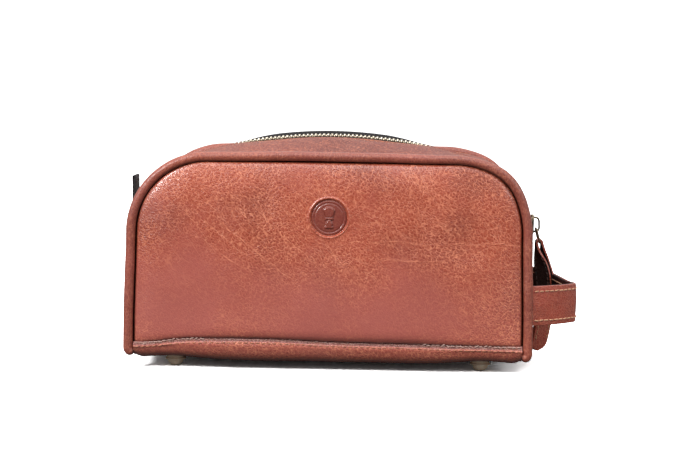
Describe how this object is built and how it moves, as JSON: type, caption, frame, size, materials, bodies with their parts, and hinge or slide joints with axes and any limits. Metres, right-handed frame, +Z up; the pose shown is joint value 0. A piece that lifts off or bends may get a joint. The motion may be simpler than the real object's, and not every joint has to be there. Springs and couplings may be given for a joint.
{
  "type": "shaving kit bag",
  "caption": "Boxy arched leather toiletry bag with piped edges, a zip over the top, metal feet, an embossed front medallion and a side wrist strap.",
  "frame": {"origin": "on the floor plane under the feet, at the middle of the whole part's footprint box", "axes": "+X along the bag towards the wrist strap, -Y out of the front panel, +Z up to the zip"},
  "size_m": [0.2612, 0.1136, 0.1345],
  "materials": {
    "bag_leather": "waxed full-grain cowhide, fine pebble grain, soft sheen",
    "piping_leather": "darker thin leather wrapped round a cord",
    "strap_leather": "double-layer leather with tan stitching",
    "lining_cloth": "dark plain-weave polyester lining",
    "zip_tape_cloth": "black woven zip tape",
    "zip_brass": "antique brass, worn bright on the high spots",
    "foot_brass": "antique brass, polished domes",
    "board": "grey-brown fibreboard"
  },
  "bodies": {
    "bag": {"base_panel": "bag_leather", "base_board": "board", "lining_tub": "lining_cloth", "front_panel_lower": "bag_leather", "back_panel_lower": "bag_leather", "front_piping_left": "piping_leather", "front_piping_right": "piping_leather", "back_piping_left": "piping_leather", "back_piping_right": "piping_leather", "left_side_panel": "bag_leather", "right_side_panel": "bag_leather", "zip_top_stop": "zip_brass", "zip_grab_tab": "zip_tape_cloth", "wrist_strap_outer": "strap_leather", "wrist_strap_lining": "strap_leather", "foot_front_left": "foot_brass", "foot_washer_front_left": "foot_brass", "foot_front_right": "foot_brass", "foot_washer_front_right": "foot_brass", "foot_back_left": "foot_brass", "foot_washer_back_left": "foot_brass", "foot_back_right": "foot_brass", "foot_washer_back_right": "foot_brass"},
    "front_mouth": {"front_panel_upper": "bag_leather", "front_panel_lining": "lining_cloth", "front_piping_upper": "piping_leather", "front_top_gusset": "bag_leather", "front_gusset_lining": "lining_cloth", "front_zip_tape": "zip_tape_cloth", "front_zip_teeth": "zip_brass"},
    "back_mouth": {"back_panel_upper": "bag_leather", "back_panel_lining": "lining_cloth", "back_piping_upper": "piping_leather", "back_top_gusset": "bag_leather", "back_gusset_lining": "lining_cloth", "back_zip_tape": "zip_tape_cloth", "back_zip_teeth": "zip_brass"},
    "zip_slider": {"slider_body": "zip_brass", "slider_bridge": "zip_brass"},
    "zip_link": {"pull_link": "zip_brass"},
    "zip_pull": {"leather_pull": "strap_leather"}
  },
  "joints": [
    {"name": "front_mouth_open", "type": "hinge", "parent": "bag", "child": "front_mouth", "pos_m": [-0.0114, -0.0569, 0.078], "axis": [1, 0, 0], "range_deg": [0, 20]},
    {"name": "back_mouth_open", "type": "hinge", "parent": "bag", "child": "back_mouth", "pos_m": [-0.0114, 0.0569, 0.078], "axis": [-1, 0, 0], "range_deg": [0, 20]},
    {"name": "slider_travel", "type": "hinge", "parent": "bag", "child": "zip_slider", "pos_m": [0.0622, 0, 0.078], "axis": [0, 1, 0], "range_deg": [-60, 0], "deforming": ["leather_pull"]},
    {"name": "link_swing", "type": "hinge", "parent": "zip_slider", "child": "zip_link", "pos_m": [0.1098, 0, 0.0786], "axis": [0, -1, 0], "range_deg": [0, 110]},
    {"name": "pull_swing", "type": "hinge", "parent": "zip_link", "child": "zip_pull", "pos_m": [0.1119, 0, 0.0704], "axis": [0, -1, 0], "range_deg": [0, 80]}
  ]
}
